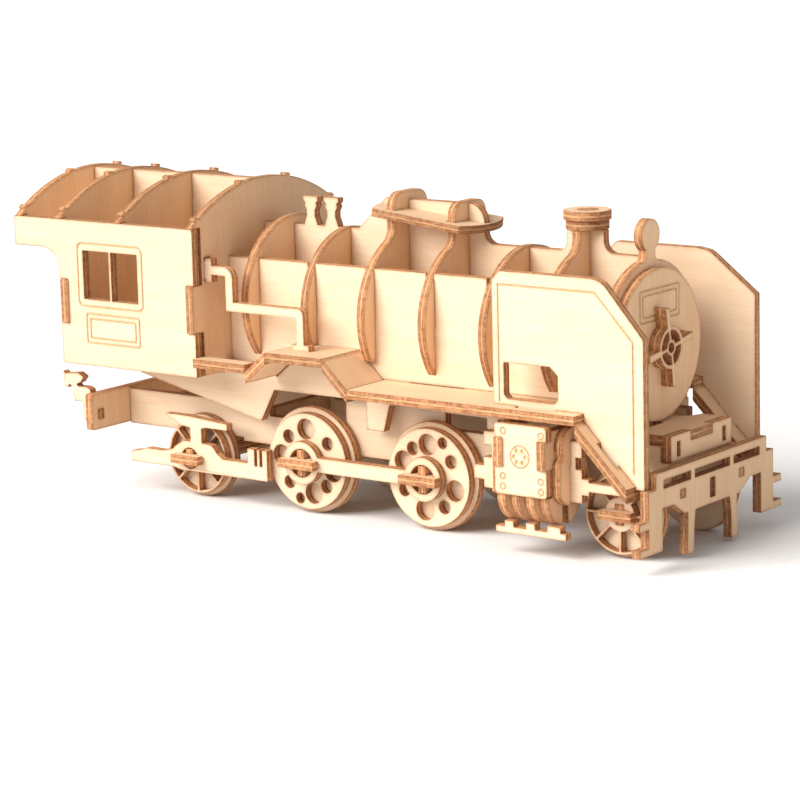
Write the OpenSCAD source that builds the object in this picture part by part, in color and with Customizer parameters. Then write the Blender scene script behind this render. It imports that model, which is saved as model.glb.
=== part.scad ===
// Jigsaw model of a steam locomotive, slotted together from flat plywood plates.
// +X points to the front, +Z is up, and the origin is on the rail level under the boiler.

/* [Plywood] */
// thickness of every plate, mm
ply = 3; // [2.5:0.5:3.5]
// clearance on each side of a slot or tab, mm
slot_gap = 0.05; // [0.02:0.01:0.1]
// depth of the engraved lines, mm
engrave_depth = 0.4; // [0.2:0.1:0.8]
// width of the engraved lines, mm
engrave_w = 0.45; // [0.4:0.05:1.2]
// how far a visible tab stands proud of the plate it passes, mm
tab_proud = 0.8; // [0:0.1:1.5]

/* [Wheels] */
// outer radius of a driving wheel, mm
driver_r = 17.8; // [15:0.1:20]
// radius of the raised face disc of a driving wheel, mm
driver_face_r = 16.2; // [13:0.1:18]
// outer radius of a carrying wheel, mm
small_r = 14.2; // [12:0.1:16]
// radius of the spoked face disc of a carrying wheel, mm
small_face_r = 12.7; // [11:0.1:15]
// place of the rear driving axle along the engine, mm
driver_1_x = -34; // [-38:0.5:-30]
// place of the front driving axle along the engine, mm
driver_2_x = 15.7; // [12:0.1:20]
// place of the trailing axle along the engine, mm
trailing_x = -82.4; // [-86:0.1:-78]
// place of the pilot axle along the engine, mm
pilot_x = 88.3; // [86:0.1:90]
// distance of a driving wheel's outer face from the middle, mm
driver_face_y = 26; // [25.5:0.1:26.2]
// distance of a carrying wheel's outer face from the middle, mm
small_face_y = 25.5; // [25.2:0.1:25.6]
// where the rear driving wheels' balance hole stands, degrees
driver_1_turn = 255; // [0:1:359]
// where the front driving wheels' balance hole stands, degrees
driver_2_turn = 64; // [0:1:359]
// radius of the large holes in a driving wheel, mm
big_hole_r = 3.4; // [2.5:0.1:3.8]
// radius of the medium holes in a driving wheel, mm
mid_hole_r = 2.2; // [1.5:0.1:3]
// radius of the balance hole in a driving wheel, mm
small_hole_r = 1.8; // [1:0.1:2.2]
// distance of the holes from the axle, mm
hole_circle_r = 10.9; // [10:0.1:11.5]
// width of a spoke, mm
spoke_w = 0.9; // [0.8:0.1:2]
// width of a spoked wheel's rim, mm
spoke_rim_w = 0.9; // [0.8:0.1:3]
// outer radius of a spoked wheel's hub ring, mm
spoke_hub_r = 5.5; // [4.8:0.1:6.5]
// number of spokes
spoke_count = 8; // [5:1:9]

/* [Axles] */
// half height of a driving axle's upright strip, mm
driver_cross = 4.4; // [4:0.1:5]
// half height of a carrying axle's upright strip, mm
small_cross = 3.2; // [3:0.1:4]
// half width of a driving axle's end head, mm
driver_head = 7.4; // [6:0.1:8]
// half width of a carrying axle's end head, mm
small_head = 6; // [5:0.1:7]
// gap between moving and fixed plates, mm
run_gap = 0.4; // [0.3:0.05:0.5]

/* [Coupling rods] */
// outer radius of a rod's ring, mm
ring_r = 7.3; // [6.5:0.1:8]
// height of a rod's bar, mm
rod_h = 5; // [4:0.1:6]

/* [Frame] */
// half distance over the two frame plates, mm
frame_half = 19; // [18:0.1:19.2]
// underside of the frame plates, mm
frame_z0 = 20; // [19:0.1:21]
// top of the frame plates under the cab and ahead of the boiler, mm
frame_z1 = 32.7; // [31:0.1:34]
// rear face of the rear beam, mm
rear_beam_x = -121; // [-126:0.1:-120]
// half width of the rear beam, mm
rear_beam_half = 38.4; // [36:0.5:40]
// rear face of the front beam, mm
front_beam_x = 103.3; // [103:0.1:105]
// half width of the front beam's top, mm
front_beam_half = 33; // [30:0.5:35]
// top of the front beam, mm
front_beam_z1 = 30.4; // [29:0.1:32]
// half width over the front footsteps, mm
step_half = 42.4; // [40:0.1:44]

/* [Boards] */
// half width over the running boards, mm
board_half = 41.5; // [40:0.1:42.4]
// top of the long running board, mm
board_z = 47.2; // [46:0.1:48]
// top of the raised platform, mm
platform_z = 56.4; // [55:0.1:58]
// top of the low board next to the cab, mm
low_board_z = 51.6; // [50:0.1:53]
// front end of the long running board, mm
board_front_x = 82.5; // [81:0.1:84]
// rear end of the long running board, mm
board_rear_x = -4.9; // [-6:0.1:-4]
// rear end of the platform, mm
platform_rear_x = -38.2; // [-40:0.1:-37]
// front end of the platform, mm
platform_front_x = -14.6; // [-16:0.1:-13]
// front end of the low board, mm
low_board_x = -46.9; // [-48:0.1:-46]
// lower front end of the sloping front board, mm
slope_front_x = 101; // [99:0.1:102]
// top of the sloping front board at its lower end, mm
slope_front_z = 26.4; // [25:0.1:28]
// inner edge of the sloping front board, mm
slope_inner_y = 27; // [26.5:0.1:28]

/* [Cab] */
// half width over the cab sides, mm
cab_half = 39.4; // [38:0.1:40.5]
// rear edge of the cab side under the roof overhang, mm
cab_rear_x = -129.4; // [-132:0.1:-127]
// rear end of the roof overhang, mm
cab_overhang_x = -149.6; // [-152:0.1:-147]
// rear face of the cab's front wall, mm
cab_front_x = -72.2; // [-73:0.1:-71]
// bottom edge of the cab, mm
cab_z0 = 44.8; // [44:0.1:46]
// top edge of the cab sides, mm
cab_z1 = 94.6; // [93:0.1:96]
// underside of the roof overhang, mm
overhang_z = 84.5; // [83:0.1:86]
// top of the arched roof, mm
roof_z = 108; // [106:0.1:110]
// top and bottom of the windows, mm
window_z0 = 67.8; // [66:0.1:70]
// top edge of the windows, mm
window_z1 = 84.4; // [83:0.1:86]
// rear edge of the rear window, mm
window_x0 = -118.4; // [-120:0.1:-117]
// width of one window, mm
window_w = 11.7; // [10:0.1:12]
// width of the post between the windows, mm
mullion_w = 1; // [0.8:0.1:2]

/* [Boiler] */
// half width over the boiler's side plates, mm
side_half = 21; // [20:0.1:21]
// top edge of the boiler's side plates, mm
side_z = 83.5; // [82:0.1:85]
// front end of the side plates and the rear face of the smokebox ring, mm
smokebox_x = 81.5; // [81.5:0.1:82]
// top of the middle plate behind the dome, mm
spine_rear_z = 92.8; // [92:0.1:94]
// top of the middle plate ahead of the dome, mm
spine_front_z = 91; // [90:0.1:92]
// height at which a rib and the middle plate halve each other, mm
spine_lap_z = 70; // [65:1:75]
// height at which a rib and a side plate halve each other, mm
side_lap_z = 66; // [62:1:70]
// half width of the dome, mm
dome_half = 9.2; // [8:0.1:10]
// half width of the collar around the dome, mm
collar_half = 12.6; // [12:0.1:14]
// top of the dome at its rear rib, mm
dome_rear_z = 106.6; // [105:0.1:108]
// top of the dome at its front rib, mm
dome_front_z = 104.6; // [103:0.1:106]
// nose-down tilt of the collar, degrees
collar_tilt = 6; // [0:0.5:8]
// half width of the chimney across the engine, mm
chimney_half = 6.7; // [6:0.1:7.5]
// height of the chimney's body, mm
chimney_z = 98.3; // [97:0.1:100]
// radius of the chimney's top disc, mm
cap_r = 7.6; // [7:0.1:9]
// radius of the smokebox ring, mm
smokebox_r = 26.6; // [25:0.1:28]
// radius of the smokebox door, mm
door_r = 24.1; // [23:0.1:25]
// height of the smokebox door's centre, mm
door_z = 63.4; // [62:0.1:65]
// radius of the headlamp disc, mm
lamp_r = 5.2; // [4:0.1:6]
// height of the headlamp's centre, mm
lamp_z = 97.6; // [96:0.1:99]

/* [Smoke deflectors] */
// outer face of a smoke deflector, mm
deflector_y = 36.2; // [36.1:0.1:36.8]
// rear edge of a smoke deflector, mm
deflector_rear_x = 49.1; // [47:0.1:51]
// front edge of a smoke deflector, mm
deflector_front_x = 104.3; // [103.5:0.1:106]
// top edge of a smoke deflector, mm
deflector_z = 89.2; // [88:0.1:90]

/* [Cylinders] */
// outer face of the cylinder cover, mm
cover_y = 41.2; // [40:0.1:42]
// rear edge of the cylinder cover, mm
cover_x0 = 52.7; // [52:0.1:55]
// front edge of the cylinder cover, mm
cover_x1 = 71.9; // [71:0.1:74]
// bottom edge of the cylinder cover, mm
cover_z0 = 20.2; // [19:0.1:21]
// top edge of the cylinder cover, mm
cover_z1 = 42.6; // [41:0.1:43.5]
// outer face of the web behind the cover, mm
web_y = 32.5; // [32.4:0.1:33]
// radius of the lower lobe of a cylinder's end plate, mm
cylinder_r = 8.7; // [8:0.1:9]
// height of that lobe's centre, mm
cylinder_z = 25.4; // [24:0.1:26]
// radius of the upper lobe of a cylinder's end plate, mm
chest_r = 6; // [5:0.1:7]
// height of the upper lobe's centre, mm
chest_z = 35.4; // [34:0.1:36]

/* [Hidden] */
$fn = 72;

face_wood = [0.93, 0.82, 0.63];
edge_wood = [0.62, 0.38, 0.2];
big = 400;

rib_x = [-59.2, -35.2, -11, 13, 36.7, 59.8];
rib_r = [27.3, 25.8, 27, 26.4, 26.6, 26.8];
rib_z = [68.5, 67.3, 66.6, 66.4, 65, 66];
rib_bottom = board_z + slot_gap;
dome_mid_x = (rib_x[2] + rib_x[3] + ply) / 2;
spine_x0 = cab_front_x + ply + slot_gap;
spine_x1 = smokebox_x - slot_gap;
spine_dome_x0 = -17.2;
spine_dome_x1 = 22.4;
spine_slope_x = -28.8;
chimney_x0 = 54.1;
chimney_x1 = 68.1;
cap_mid_x = (chimney_x0 + chimney_x1) / 2;
cap_z = chimney_z + slot_gap;
door_x = smokebox_x + ply;
handle_x = door_x + ply;
axle_clearance = 0.09;
bore_driver = norm([driver_cross, ply / 2]) + axle_clearance;
bore_small = norm([small_cross, ply / 2]) + axle_clearance;
slope_run = slope_front_x - board_front_x;
slope_drop = board_z - 2.3 - slope_front_z;

// plates

module plate_xz(y0, t = ply) {
    translate([0, y0 + t, 0])
        rotate([90, 0, 0])
            linear_extrude(t)
                children();
}

module plate_yz(x0, t = ply) {
    translate([x0, 0, 0])
        rotate([90, 0, 90])
            linear_extrude(t)
                children();
}

module plate_xy(z0, t = ply) {
    translate([0, 0, z0])
        linear_extrude(t)
            children();
}

module both_sides() {
    children();
    mirror([0, 1, 0])
        children();
}

module both_flanks() {
    children();
    mirror([1, 0])
        children();
}

module span(a0, a1, b0, b1) {
    translate([a0, b0])
        square([a1 - a0, b1 - b0]);
}

module soft_span(a0, a1, b0, b1, r) {
    span(a0 + r, a1 - r, b0, b1);
    span(a0, a1, b0 + r, b1 - r);
    for (a = [a0 + r, a1 - r])
        for (b = [b0 + r, b1 - r])
            translate([a, b])
                circle(r = r);
}

module engraved_frame(a0, a1, b0, b1, r) {
    difference() {
        soft_span(a0, a1, b0, b1, r);
        soft_span(a0 + engrave_w, a1 - engrave_w, b0 + engrave_w, b1 - engrave_w, r - engrave_w / 2);
    }
}

module ring_2d(r_out, r_in) {
    difference() {
        circle(r = r_out);
        circle(r = r_in);
    }
}

// fills the inner corner at (a, b); the arc opens towards the signs sa and sb
module fillet_2d(a, b, r, sa, sb) {
    translate([a, b])
        scale([sa, sb])
            difference() {
                square(r);
                translate([r, r])
                    circle(r = r);
            }
}

// boiler

module post_2d(x) {
    half = [[2.7, -1], [2.7, 0.4], [1.7, 3], [1.7, 5], [2.6, 6.6], [2.1, 7.4], [3, 8.2], [3, 9.6]];
    left = [for (i = [len(half) - 1 : -1 : 0]) [-half[i][0], half[i][1]]];
    translate([x, spine_rear_z])
        polygon(concat(half, left));
}

module spine_2d() {
    post_1_x = -48.9;
    post_2_x = -40.2;
    dome_z = (dome_rear_z + dome_front_z) / 2 - 1.8;
    corner_r = 6;
    cap_tab = 3.4;
    span(spine_x0, spine_slope_x, rib_bottom, spine_rear_z);
    span(spine_slope_x - 1, spine_x1, rib_bottom, spine_front_z);
    polygon([[spine_slope_x - 1, spine_front_z - 1], [spine_dome_x1 - corner_r, spine_front_z - 1],
        [spine_dome_x1 - corner_r, dome_z], [spine_dome_x0, dome_z], [spine_slope_x, spine_rear_z],
        [spine_slope_x - 1, spine_rear_z]]);
    span(spine_dome_x1 - corner_r - 1, spine_dome_x1, spine_front_z - 1, dome_z - corner_r);
    translate([spine_dome_x1 - corner_r, dome_z - corner_r])
        intersection() {
            circle(r = corner_r);
            square(corner_r);
        }
    fillet_2d(spine_dome_x1, spine_front_z, 4, 1, 1);
    post_2d(post_1_x);
    post_2d(post_2_x);
    span(chimney_x0, chimney_x1, spine_front_z - 1, chimney_z);
    fillet_2d(chimney_x0, spine_front_z, 3, -1, 1);
    fillet_2d(chimney_x1, spine_front_z, 4, 1, 1);
    span(cap_mid_x - cap_tab, cap_mid_x + cap_tab, chimney_z - 1, chimney_z + 2 * ply + 2 * slot_gap);
}

module spine_plate() {
    color(face_wood)
        plate_xz(-ply / 2)
            difference() {
                spine_2d();
                for (x = rib_x)
                    span(x - slot_gap, x + ply + slot_gap, spine_lap_z, big);
            }
}

module boiler_side(y0) {
    color(face_wood)
        plate_xz(y0)
            difference() {
                span(spine_x0, spine_x1, rib_bottom, side_z);
                for (x = rib_x)
                    span(x - slot_gap, x + ply + slot_gap, side_lap_z, big);
            }
}

module boiler_side_right() {
    boiler_side(-side_half);
}

module boiler_side_left() {
    boiler_side(side_half - ply);
}

module rib_slots_2d(board_top) {
    mid_half = ply / 2 + slot_gap;
    span(-mid_half, mid_half, 0, spine_lap_z);
    both_flanks()
        span(side_half - ply - slot_gap, side_half + slot_gap, 0, side_lap_z);
    if (board_top > 0)
        both_flanks()
            span(side_half, big, 0, board_top);
}

module rib_2d(i, board_top) {
    difference() {
        translate([0, rib_z[i]])
            circle(r = rib_r[i]);
        span(-big, big, 0, rib_bottom);
        rib_slots_2d(board_top);
    }
}

module rib_1() {
    color(face_wood)
        plate_yz(rib_x[0])
            rib_2d(0, low_board_z - ply + slot_gap);
}

module rib_2() {
    color(face_wood)
        plate_yz(rib_x[1])
            rib_2d(1, platform_z + slot_gap);
}

module rib_5() {
    color(face_wood)
        plate_yz(rib_x[4])
            rib_2d(4, 0);
}

module necked_rib_2d(i, board_top, neck_half, top_z, corner_r, flare_r) {
    flare_z = rib_z[i] + sqrt(pow(rib_r[i] + flare_r, 2) - pow(neck_half + flare_r, 2));
    rib_2d(i, board_top);
    soft_span(-neck_half, neck_half, rib_z[i] + rib_r[i] - 2 * corner_r, top_z, corner_r);
    difference() {
        span(-neck_half - flare_r, neck_half + flare_r, rib_z[i] + rib_r[i] / 2, flare_z);
        both_flanks()
            translate([neck_half + flare_r, flare_z])
                circle(r = flare_r);
        both_flanks()
            polygon([[0, rib_z[i]], [(neck_half + flare_r) * 4, rib_z[i] + (flare_z - rib_z[i]) * 4],
                [big, rib_z[i]]]);
    }
}

module dome_rib_rear() {
    color(face_wood)
        plate_yz(rib_x[2])
            necked_rib_2d(2, 53.2, dome_half, dome_rear_z, 5, 6);
}

module dome_rib_front() {
    color(face_wood)
        plate_yz(rib_x[3])
            necked_rib_2d(3, 0, dome_half - 0.6, dome_front_z, 4.5, 5);
}

module chimney_rib() {
    cap_tab = 3.4;
    color(face_wood)
        plate_yz(rib_x[5]) {
            necked_rib_2d(5, 0, chimney_half, chimney_z, 0.5, 6);
            span(-cap_tab, cap_tab, chimney_z - 1, chimney_z + 2 * ply + 2 * slot_gap);
        }
}

module dome_collar() {
    end_r = 21.5;
    collar_z = 97.2;
    color(face_wood)
        difference() {
            translate([dome_mid_x, 0, collar_z])
                rotate([0, collar_tilt, 0])
                    linear_extrude(ply - 0.4)
                        intersection() {
                            circle(r = end_r);
                            span(-end_r, end_r, -collar_half, collar_half);
                        }
            plate_xy(0, big) {
                for (i = [2, 3])
                    span(rib_x[i] - 0.3, rib_x[i] + ply + 0.3, -dome_half - 0.1, dome_half + 0.1);
                span(-end_r - ply, spine_dome_x1 + 0.3, -ply / 2 - slot_gap, ply / 2 + slot_gap);
            }
        }
}

module chimney_cap(z, r) {
    arm = 3.5;
    color(face_wood)
        plate_xy(z)
            translate([cap_mid_x, 0])
                difference() {
                    circle(r = r);
                    span(-arm, arm, -ply / 2 - slot_gap, ply / 2 + slot_gap);
                    span(rib_x[5] - cap_mid_x - slot_gap, rib_x[5] + ply - cap_mid_x + slot_gap, -arm, arm);
                }
}

module chimney_cap_lower() {
    chimney_cap(cap_z, cap_r - 0.7);
}

module chimney_cap_upper() {
    chimney_cap(cap_z + ply, cap_r);
}

module smokebox_ring() {
    stem_half = 2.6;
    color(face_wood)
        plate_yz(smokebox_x) {
            translate([0, door_z])
                circle(r = smokebox_r);
            translate([0, lamp_z])
                circle(r = lamp_r);
            span(-stem_half, stem_half, door_z, lamp_z);
            both_flanks()
                fillet_2d(stem_half, door_z + smokebox_r - 0.4, 1.6, 1, 1);
        }
}

module smokebox_door() {
    plate_half = 11.6;
    plate_z0 = 71.3;
    plate_z1 = 81.7;
    inset = 1.6;
    color(face_wood)
        difference() {
            plate_yz(door_x)
                translate([0, door_z])
                    circle(r = door_r);
            plate_yz(door_x + ply - engrave_depth, ply) {
                engraved_frame(-plate_half, plate_half, plate_z0, plate_z1, 0.6);
                engraved_frame(-plate_half + inset, plate_half - inset,
                    plate_z0 + inset, plate_z1 - inset, 0.6);
            }
        }
}

module door_handle() {
    handle_r = 6.8;
    rim = 1.3;
    hub_r = 2.6;
    arm_w = 2;
    arm_r = 12.6;
    turn = 10;
    color(edge_wood)
        plate_yz(handle_x, ply + 1.2)
            translate([0, door_z - 0.6])
                rotate(turn) {
                    ring_2d(handle_r, handle_r - rim);
                    ring_2d(hub_r, hub_r - 1);
                    for (k = [0 : 3])
                        rotate(k * 90) {
                            span(hub_r - 0.4, handle_r - 0.4, -0.6, 0.6);
                            polygon([[handle_r - 0.5, -arm_w / 2], [arm_r, -arm_w * 0.75],
                                [arm_r + 0.6, arm_w * 0.5], [handle_r - 0.5, arm_w / 2]]);
                        }
                }
}

// cab

module cab_side_2d() {
    curve_r = 8;
    window_x1 = window_x0 + window_w + mullion_w;
    wall_tab_z0 = 59;
    wall_tab_z1 = 74;
    front_x = cab_front_x + ply;
    difference() {
        union() {
            span(cab_rear_x, front_x, cab_z0, cab_z1);
            span(cab_overhang_x, cab_rear_x + 1, overhang_z, cab_z1);
            fillet_2d(cab_rear_x, overhang_z, curve_r, -1, -1);
        }
        span(window_x0, window_x0 + window_w, window_z0, window_z1);
        span(window_x1, window_x1 + window_w, window_z0, window_z1);
        span(cab_rear_x - 1, rear_wall_x + ply + slot_gap, wall_tab_z0 - slot_gap, wall_tab_z1 + slot_gap);
        span(cab_front_x - slot_gap, front_x + 1, front_tab_z0 - slot_gap, front_tab_z1 + slot_gap);
    }
}

rear_wall_x = cab_rear_x + 0.8;
notch_wide = 1.2;
front_tab_z0 = 59.6;
front_tab_z1 = 75.6;
rear_tab_z0 = 59;
rear_tab_z1 = 74;
wall_half = cab_half - ply - slot_gap;

module cab_side() {
    frame_x0 = -121;
    frame_x1 = -91.6;
    frame_z0 = 65.2;
    frame_z1 = 87.2;
    plate_x0 = -117.8;
    plate_x1 = -93.6;
    plate_z0 = 52.6;
    plate_z1 = 63;
    inset = 1.7;
    color(face_wood)
        difference() {
            plate_xz(-cab_half)
                cab_side_2d();
            plate_xz(-cab_half - ply + engrave_depth) {
                engraved_frame(frame_x0, frame_x1, frame_z0, frame_z1, 2.2);
                engraved_frame(plate_x0, plate_x1, plate_z0, plate_z1, 0.6);
                engraved_frame(plate_x0 + inset, plate_x1 - inset, plate_z0 + inset, plate_z1 - inset, 0.6);
            }
        }
}

module cab_side_right() {
    cab_side();
}

module cab_side_left() {
    mirror([0, 1, 0])
        cab_side();
}

// the arch rises from the cab sides to the ridge
arch_rise = roof_z - cab_z1;
arch_r = (pow(cab_half, 2) + pow(arch_rise, 2)) / (2 * arch_rise);

module arch_2d(z0, half) {
    intersection() {
        translate([0, roof_z - arch_r])
            circle(r = arch_r);
        union() {
            span(-cab_half, cab_half, cab_z1 + slot_gap, big);
            span(-half, half, z0, big);
        }
    }
}

module ridge_lap_2d() {
    half = ply / 2 + slot_gap;
    span(-half, half, 0, ridge_lap_z);
}

ridge_lap_z = 99;
ridge_z0 = 89;

module arch_nubs_2d() {
    nub_w = 1.8;
    nub_proud = 1;
    for (angle = [-34, -11, 11, 34])
        translate([0, roof_z - arch_r])
            rotate(angle)
                span(-nub_w / 2, nub_w / 2, arch_r - 2, arch_r + nub_proud);
}

arch_x = [-149.1, -131, -104];

module roof_arches() {
    arch_z0 = 84;
    color(face_wood)
        for (x = arch_x)
            plate_yz(x) {
                difference() {
                    arch_2d(arch_z0, wall_half);
                    ridge_lap_2d();
                }
                arch_nubs_2d();
            }
}

module roof_ridge() {
    ridge_top = roof_z - 0.6;
    color(face_wood)
        plate_xz(-ply / 2)
            difference() {
                span(arch_x[0], cab_front_x - slot_gap, ridge_z0, ridge_top);
                for (x = arch_x)
                    span(x - slot_gap, x + ply + slot_gap, ridge_lap_z, big);
            }
}

module cab_front_wall() {
    rail_z0 = 76.6;
    rail_z1 = 84.4;
    inner_half = wall_half - notch_wide;
    color(face_wood)
        plate_yz(cab_front_x)
            difference() {
                union() {
                    arch_2d(cab_z0, inner_half);
                    span(-cab_half - tab_proud, cab_half + tab_proud, front_tab_z0, front_tab_z1);
                    arch_nubs_2d();
                }
                both_flanks()
                    span(rail_y0 - slot_gap, rail_y0 + ply + slot_gap,
                        rail_z0 - slot_gap, rail_z1 + slot_gap);
            }
}

module cab_rear_wall() {
    wall_z1 = 83.9;
    color(face_wood)
        plate_yz(rear_wall_x) {
            span(-wall_half, wall_half, cab_floor_z + ply + slot_gap, wall_z1);
            span(-cab_half - tab_proud, cab_half + tab_proud, rear_tab_z0, rear_tab_z1);
        }
}

cab_floor_z = cab_z0;

module cab_floor() {
    color(face_wood)
        plate_xy(cab_floor_z)
            span(cab_rear_x, cab_front_x - slot_gap, -wall_half, wall_half);
}

// boards

module footplate() {
    narrow_half = side_half + 0.4;
    ring_half = 28;
    slit_x = [6, 27];
    slit_w = 0.7;
    color(face_wood)
        plate_xy(board_z - ply)
            difference() {
                union() {
                    span(spine_x0, board_rear_x + 1, -narrow_half, narrow_half);
                    span(board_rear_x + slot_gap, board_front_x, -board_half, board_half);
                }
                span(spine_x1, big, -ring_half, ring_half);
                for (y = [-side_half - slit_w, side_half])
                    span(slit_x[0], slit_x[1], y, y + slit_w);
                for (y = [-tab_slot_y1, tab_slot_y0])
                    span(board_tab_x[0] - slot_gap, board_tab_x[1] + slot_gap,
                        y, y + tab_slot_y1 - tab_slot_y0);
            }
}

module board_pair(x0, x1, z_top, inner) {
    both_sides()
        plate_xy(z_top - ply)
            span(x0, x1, -board_half, -inner);
}

module low_boards() {
    low_board_inner = 35.6;
    color(face_wood)
        board_pair(spine_x0, low_board_x - slot_gap, low_board_z, low_board_inner);
}

module platforms() {
    color(face_wood)
        board_pair(platform_rear_x + slot_gap, platform_front_x - slot_gap, platform_z, side_half + 0.1);
}

// a board whose top runs from (x0, z0) to (x1, z1), cut upright at both ends
module slope_2d(x0, z0, x1, z1) {
    drop = ply * sqrt(pow(x1 - x0, 2) + pow(z1 - z0, 2)) / (x1 - x0);
    polygon([[x0, z0 - drop], [x1, z1 - drop], [x1, z1], [x0, z0]]);
}

module slope_pair(x0, z0, x1, z1, inner) {
    both_sides()
        plate_xz(-board_half, board_half - inner)
            slope_2d(x0, z0, x1, z1);
}

module rear_slopes() {
    foot_z = 49.2;
    color(face_wood)
        slope_pair(low_board_x, foot_z, platform_rear_x, platform_z, side_half + 0.5);
}

module middle_slopes() {
    color(face_wood)
        slope_pair(platform_front_x, platform_z, board_rear_x, board_z, side_half + 0.5);
}

// where the deflector's tabs pass through the front slope and the long board
slope_tab_x = [88.6, 95.1];
board_tab_x = [58.2, 72.6];
tab_slot_y0 = deflector_y - ply - slot_gap;
tab_slot_y1 = deflector_y + 1.9;

module front_slopes() {
    color(face_wood)
        difference() {
            slope_pair(board_front_x + slot_gap, slope_front_z + slope_drop, slope_front_x, slope_front_z,
                slope_inner_y);
            both_sides()
                plate_xy(0, big)
                    span(slope_tab_x[0] - slot_gap, slope_tab_x[1] + slot_gap, -tab_slot_y1, -tab_slot_y0);
        }
}

// handrails

rail_y0 = 30.6;

module handrail_2d() {
    bar = 3;
    bend = 4;
    top_z = 82;
    low_z = 70.3;
    x0 = cab_front_x + ply;
    x1 = -57.4;
    x2 = -28;
    foot_half = 3.6;
    foot_x = x2 - bar / 2;
    span(cab_front_x, x0 + 0.4, 77.4, 83.6);
    span(x0 + 0.3, x0 + 3, 76.4, 84.3);
    difference() {
        union() {
            soft_span(x0 - 2 * bend, x1, low_z - bar, top_z, bend);
            span(x0 - 2 * bend, x0, low_z - bar, top_z);
        }
        span(-big, x1 - bar, 0, top_z - bar);
    }
    difference() {
        soft_span(x1 - bar, x2, platform_z + slot_gap, low_z, 2);
        span(x1 - bar - 1, x2 - bar, 0, low_z - bar);
    }
    span(foot_x - foot_half, foot_x + foot_half, platform_z + slot_gap, platform_z + 2);
}

module handrail_trim_2d() {
    intersection() {
        handrail_2d();
        span(cab_front_x, big, 0, big);
    }
}

module handrails() {
    color(face_wood)
        both_sides()
            plate_xz(-rail_y0 - ply)
                handrail_trim_2d();
}

// smoke deflectors

module deflector_2d(x0, x1, chamfer_x, chamfer_z) {
    z0 = board_z + slot_gap;
    corner_r = 3;
    bend_x = x1 - chamfer_x;
    drop = chamfer_z / chamfer_x;
    tail_z = 25.55;
    line_z = slope_front_z + slope_drop + 0.1;
    window = [[53.2, 60.6], [53.2, 50.4], [54.6, 49.2], [71.8, 49.2], [73.2, 50.4], [73.2, 58], [70.4, 60.6]];
    difference() {
        polygon([[x0, z0], [board_front_x + slot_gap, z0], [board_front_x + slot_gap, line_z],
            [slope_front_x + 0.1, slope_front_z], [slope_front_x + 0.1, tail_z], [x1, tail_z],
            [x1, deflector_z - chamfer_z], [bend_x + 1.9, deflector_z - 1.9 * drop],
            [bend_x + 0.5, deflector_z - 0.9 * drop], [bend_x - 1.6, deflector_z - 0.3],
            [bend_x - 3.6, deflector_z], [x0 + corner_r, deflector_z],
            [x0, deflector_z - corner_r]]);
        polygon(window);
    }
}

module deflector_tabs_2d() {
    through = ply + 0.8;
    slope_through = 5.2;
    a = slope_tab_x[0];
    b = slope_tab_x[1];
    za = slope_front_z + slope_drop * (slope_front_x - a) / slope_run;
    zb = slope_front_z + slope_drop * (slope_front_x - b) / slope_run;
    span(board_tab_x[0], board_tab_x[1], board_z - through, board_z + 1);
    polygon([[a, za - slope_through], [b, zb - slope_through], [b, zb + 1], [a, za + 1]]);
}

module deflector_border_2d(rear_x, front_x, chamfer_x, chamfer_z) {
    x0 = rear_x + 2.1;
    x1 = front_x - 3.5;
    z1 = deflector_z - 4;
    foot_z = 30;
    line_half = engrave_w / 2;
    polygon([[x0, board_z + 1], [x0, z1], [x1 - chamfer_x, z1], [x1, z1 - chamfer_z], [x1, foot_z],
        [x1 - engrave_w, foot_z + engrave_w], [x1 - engrave_w, z1 - chamfer_z - line_half],
        [x1 - chamfer_x - line_half, z1 - engrave_w], [x0 + engrave_w, z1 - engrave_w],
        [x0 + engrave_w, board_z + 1]]);
}

module deflector(x0, x1, chamfer_x, chamfer_z) {
    color(face_wood)
        difference() {
            plate_xz(-deflector_y) {
                deflector_2d(x0, x1, chamfer_x, chamfer_z);
                deflector_tabs_2d();
            }
            plate_xz(-deflector_y - ply + engrave_depth)
                deflector_border_2d(x0, x1, chamfer_x - 1.7, chamfer_z - 3.1);
        }
}

module deflector_right() {
    deflector(deflector_rear_x, deflector_front_x, 15.3, 17.4);
}

// the left one is cut with a longer, flatter corner and stands a little further back
module deflector_left() {
    set_back = 2.1;
    mirror([0, 1, 0])
        deflector(deflector_rear_x - set_back, deflector_front_x - set_back, 17.7, 13.6);
}

// skirts under the boards

module skirt_2d() {
    gap = 2 * slot_gap;
    low_z = 40.3;
    hanger_x = [-9.6, -2.6];
    hanger_z = 30.8;
    bracket_x = [38.4, 42];
    bracket_z = 36;
    front_x = 46.6;
    front_z = 39.4;
    heel_x = -54;
    heel_z = 29.3;
    rear_x = -107;
    rear_z = 41;
    slope_drop_z = 4.2;
    polygon([[rear_x, rear_z], [heel_x, heel_z], [-48, low_z], [hanger_x[0], low_z], [hanger_x[0], hanger_z],
        [hanger_x[1], hanger_z], [hanger_x[1] + 2.6, low_z - 0.4], [bracket_x[0], front_z],
        [bracket_x[0], bracket_z], [bracket_x[1], bracket_z], [bracket_x[1] + 1, front_z],
        [front_x, front_z], [front_x, board_z - ply - gap], [board_rear_x + gap, board_z - ply - gap],
        [board_rear_x + gap, board_z - slope_drop_z - gap],
        [platform_front_x, platform_z - slope_drop_z - gap],
        [platform_front_x - 1, platform_z - ply - gap], [platform_rear_x + 1, platform_z - ply - gap],
        [platform_rear_x, platform_z - slope_drop_z - gap], [low_board_x, 49.2 - slope_drop_z - gap],
        [low_board_x - gap, low_board_z - ply - gap], [spine_x0 + gap, low_board_z - ply - gap],
        [spine_x0 + gap, cab_z0 - gap], [rear_x, cab_z0 - gap]]);
}

module skirts() {
    skirt_y = 25;
    color(face_wood)
        both_sides()
            plate_xz(-skirt_y)
                skirt_2d();
}

// main frame

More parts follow.
